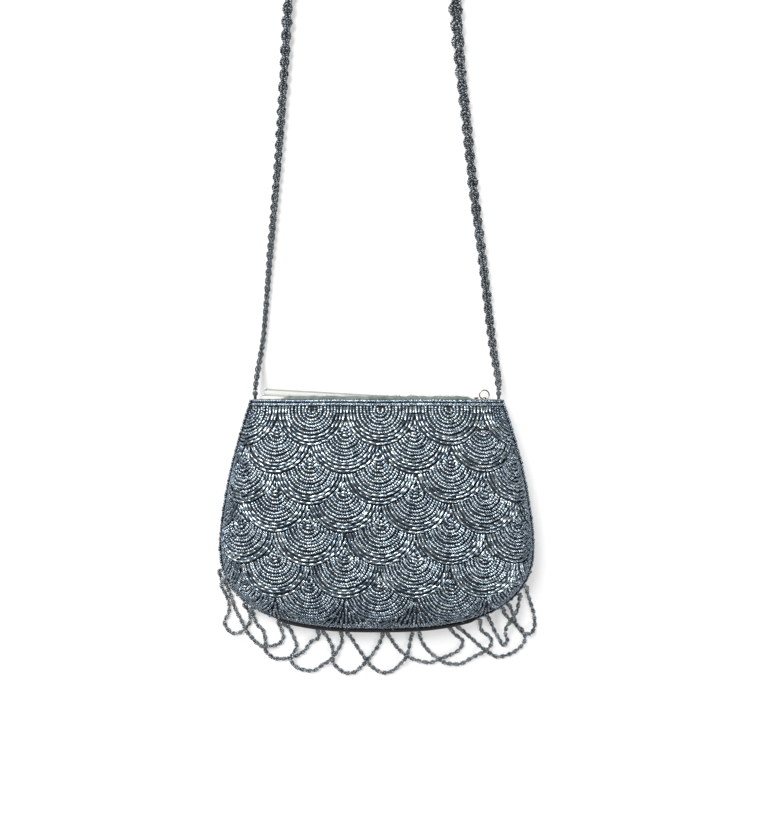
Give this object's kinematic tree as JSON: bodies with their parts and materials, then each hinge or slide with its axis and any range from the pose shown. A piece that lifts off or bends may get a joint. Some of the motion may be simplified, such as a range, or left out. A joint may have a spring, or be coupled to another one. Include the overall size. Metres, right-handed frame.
{
  "type": "evening bag",
  "caption": "Small beaded evening pouch with an open zip mouth, fish-scale beading, looped bead fringe and a twisted bead-rope shoulder strap.",
  "frame": {"origin": "middle of the bag without its strap and fringe, on the surface that it lies on", "axes": "+X along the mouth to the right, +Y out of the mouth towards the strap, +Z out of the front face"},
  "size_m": [0.2085, 0.6139, 0.0361],
  "materials": {
    "glass_beads": "glossy blue-grey glass seed and bugle beads with a metallic lining",
    "bead_string": "glossy blue-grey glass seed beads strung on thread",
    "ground_cloth": "matt grey rayon ground cloth",
    "lining": "pale grey satin",
    "zip_tape": "off-white woven tape",
    "zip_coil": "grey nylon coil",
    "zip_metal": "dull plated metal",
    "binding_thread": "bound thread"
  },
  "bodies": {
    "bag": {"front_beading": "glass_beads", "back_beading": "glass_beads", "front_panel": "ground_cloth", "back_panel": "ground_cloth", "lining_front": "lining", "lining_back": "lining", "hem_beads_front": "glass_beads", "hem_beads_back": "glass_beads", "edge_bead_string": "bead_string", "zip_tape_front": "zip_tape", "zip_tape_back": "zip_tape", "zip_coil_front": "zip_coil", "zip_coil_back": "zip_coil", "zip_top_stop_front": "zip_metal", "zip_top_stop_back": "zip_metal", "zip_bottom_stop": "zip_metal", "strap_knot_left": "binding_thread", "strap_knot_right": "binding_thread", "fringe_loop_01": "bead_string", "fringe_loop_02": "bead_string", "fringe_loop_03": "bead_string", "fringe_loop_04": "bead_string", "fringe_loop_05": "bead_string", "fringe_loop_06": "bead_string", "fringe_loop_07": "bead_string", "fringe_loop_08": "bead_string", "fringe_loop_09": "bead_string", "fringe_loop_10": "bead_string", "fringe_loop_11": "bead_string"},
    "slider": {"zip_slider": "zip_metal"},
    "ring_pull": {"zip_ring_pull": "zip_metal"},
    "strap": {"strap_rope": "bead_string"}
  },
  "joints": [
    {"name": "zip_slide", "type": "slide", "parent": "bag", "child": "slider", "axis": [-0.9983, 0.0576, 0], "range_m": [0, 0.134]},
    {"name": "ring_swing", "type": "hinge", "parent": "slider", "child": "ring_pull", "pos_m": [0.06948, 0.0707, 0.0073], "axis": [0.9983, -0.0576, 0], "range_deg": [0, 78]},
    {"name": "strap_lift", "type": "hinge", "parent": "bag", "child": "strap", "pos_m": [0, 0.0747, 0.008], "axis": [1, 0, 0], "range_deg": [0, 115]}
  ]
}
